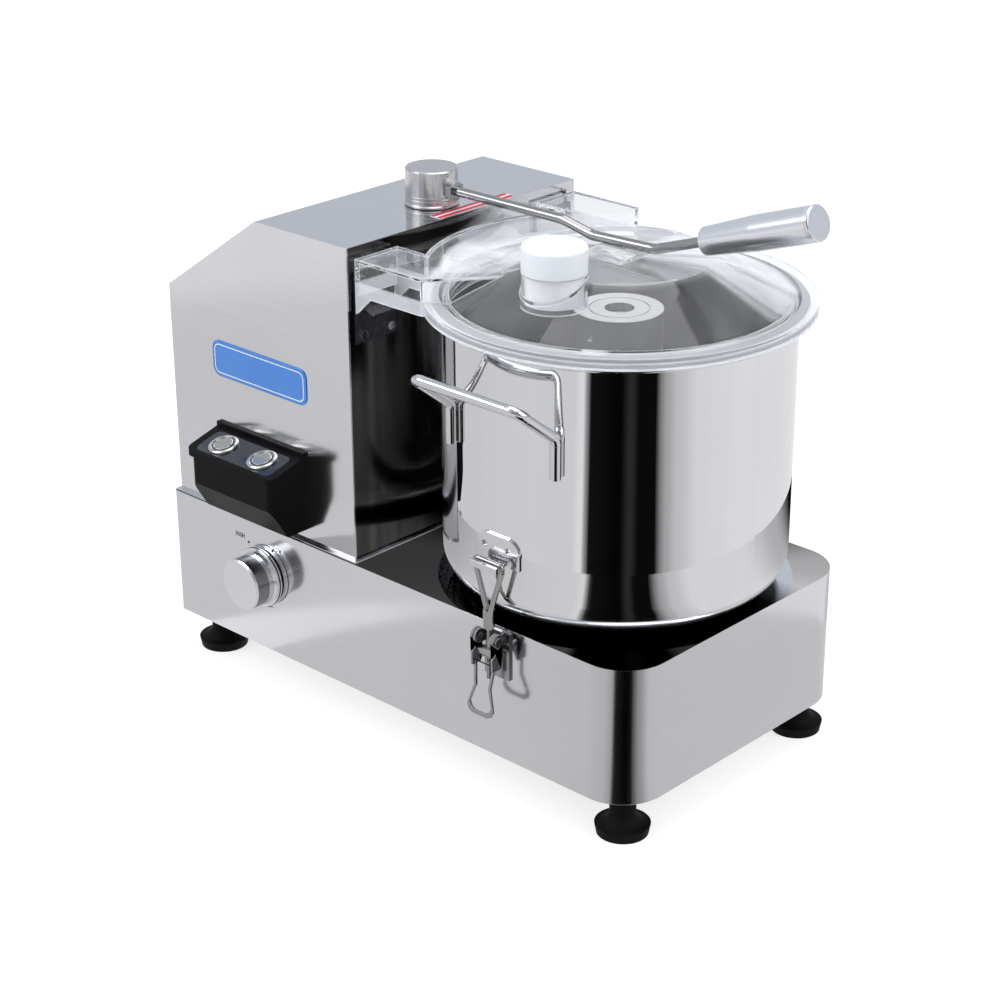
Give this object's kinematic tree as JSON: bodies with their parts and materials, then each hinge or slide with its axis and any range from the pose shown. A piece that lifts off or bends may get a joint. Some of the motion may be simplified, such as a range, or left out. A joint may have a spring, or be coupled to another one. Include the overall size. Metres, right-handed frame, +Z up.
{
  "type": "bowl cutter",
  "caption": "Tabletop bowl cutter: a bladed knife on a belt-driven spindle in a latched steel bowl, clear lid with feed plug, locking lever, switch box and speed knob.",
  "frame": {"origin": "under the middle of the machine's length and width, on the plane that the feet stand on", "axes": "+X from the motor tower to the bowl, along the longest side; +Y away from the knob and switches, the shortest side; +Z up"},
  "size_m": [0.5856, 0.3528, 0.4897],
  "materials": {
    "stainless_satin": "satin stainless sheet",
    "stainless_polished": "polished stainless steel",
    "stainless_brushed": "brushed stainless steel",
    "blade_steel": "ground blade steel",
    "rubber_black": "matte black rubber",
    "plastic_black": "satin black moulding",
    "panel_dark": "glossy dark panel",
    "lid_clear": "clear polycarbonate",
    "plug_white": "white nylon",
    "knob_aluminium": "turned aluminium",
    "bracket_dark": "dark sheet",
    "machined_steel": "machined steel",
    "cast_grey": "grey casting",
    "motor_paint": "grey-blue paint",
    "board_green": "circuit board",
    "seat_grey": "grey rubber ring"
  },
  "bodies": {
    "frame": {"base_shell": "stainless_satin", "bottom_plate": "machined_steel", "foot_front_left": "rubber_black", "foot_front_right": "rubber_black", "foot_rear_left": "rubber_black", "foot_rear_right": "rubber_black", "foot_screws": "machined_steel", "tower_wrap": "stainless_satin", "tower_side_left": "stainless_satin", "tower_side_right": "stainless_satin", "tower_flange": "stainless_satin", "lid_brackets": "bracket_dark", "bracket_screws": "stainless_polished", "control_box": "plastic_black", "button_plate": "panel_dark", "button_bezels": "stainless_polished", "speed_pot": "plastic_black", "latch_bracket_left": "stainless_brushed", "latch_bracket_right": "stainless_brushed", "latch_rivets": "stainless_polished", "latch_keeper_left": "stainless_polished", "latch_keeper_right": "stainless_polished", "bowl": "stainless_polished", "bowl_handle_left": "stainless_polished", "bowl_handle_right": "stainless_polished", "bowl_seat": "seat_grey", "lid": "lid_clear", "spindle_housing": "cast_grey", "spindle_bearings": "machined_steel", "drive_belt": "rubber_black", "motor_body": "motor_paint", "safety_switch": "plastic_black", "control_board": "board_green", "cable_gland": "plastic_black"},
    "locking_lever": {"lever_hub": "stainless_brushed", "lever_nut": "stainless_brushed", "lever_rod": "stainless_polished", "lever_grip": "stainless_brushed", "grip_cap": "stainless_polished", "lever_shaft": "machined_steel"},
    "plug": {"feed_plug": "plug_white"},
    "knob": {"speed_knob": "knob_aluminium", "knob_shaft": "machined_steel"},
    "start_key": {"start_button": "stainless_polished"},
    "stop_key": {"stop_button": "stainless_polished"},
    "knife": {"knife_hub": "stainless_brushed", "blade_lower": "blade_steel", "blade_upper": "blade_steel", "blade_spacer": "stainless_brushed", "knife_screws": "machined_steel", "drive_shaft": "machined_steel", "spindle_pulley": "cast_grey"},
    "motor_rotor": {"motor_shaft": "machined_steel", "motor_pulley": "cast_grey"},
    "toggle_left": {"latch_lever_left": "stainless_brushed"},
    "toggle_right": {"latch_lever_right": "stainless_brushed"},
    "bail_left": {"latch_bail_left": "stainless_polished", "latch_trunnion_left": "stainless_brushed"},
    "bail_right": {"latch_bail_right": "stainless_polished", "latch_trunnion_right": "stainless_brushed"}
  },
  "joints": [
    {"name": "lever_swing", "type": "hinge", "parent": "frame", "child": "locking_lever", "pos_m": [-0.09428, 0, 0.415], "axis": [0, 0, 1], "range_deg": [0, 90]},
    {"name": "plug_lift", "type": "slide", "parent": "frame", "child": "plug", "axis": [0, 0, 1], "range_m": [0, 0.09]},
    {"name": "speed_knob_turn", "type": "hinge", "parent": "frame", "child": "knob", "pos_m": [-0.16628, -0.137, 0.104], "axis": [0, -1, 0], "range_deg": [-150, 150]},
    {"name": "start_press", "type": "slide", "parent": "frame", "child": "start_key", "axis": [0, 0.2676, -0.9635], "range_m": [0, 0.0025], "stiffness_N_per_m": 400},
    {"name": "stop_press", "type": "slide", "parent": "frame", "child": "stop_key", "axis": [0, 0.2676, -0.9635], "range_m": [0, 0.0025], "stiffness_N_per_m": 400},
    {"name": "knife_spin", "type": "hinge", "parent": "frame", "child": "knife", "pos_m": [0.10722, 0, 0.15], "axis": [0, 0, 1], "continuous": true},
    {"name": "motor_spin", "type": "hinge", "parent": "frame", "child": "motor_rotor", "pos_m": [-0.16628, 0, 0.15], "axis": [0, 0, 1], "continuous": true},
    {"name": "latch_right", "type": "hinge", "parent": "frame", "child": "toggle_right", "pos_m": [0.10722, -0.15, 0.144], "axis": [-1, 0, 0], "range_deg": [0, 80]},
    {"name": "latch_left", "type": "hinge", "parent": "frame", "child": "toggle_left", "pos_m": [0.10722, 0.15, 0.144], "axis": [1, 0, 0], "range_deg": [0, 80]},
    {"name": "bail_right_turn", "type": "hinge", "parent": "toggle_right", "child": "bail_right", "pos_m": [0.10722, -0.1475, 0.131], "axis": [-1, 0, 0], "range_deg": [-70, 2]},
    {"name": "bail_left_turn", "type": "hinge", "parent": "toggle_left", "child": "bail_left", "pos_m": [0.10722, 0.1475, 0.131], "axis": [1, 0, 0], "range_deg": [-70, 2]}
  ],
  "couplings": [
    {"joint": "motor_spin", "follows": "knife_spin", "ratio": 2},
    {"joint": "bail_right_turn", "follows": "latch_right", "ratio": -0.855},
    {"joint": "bail_left_turn", "follows": "latch_left", "ratio": -0.855}
  ]
}
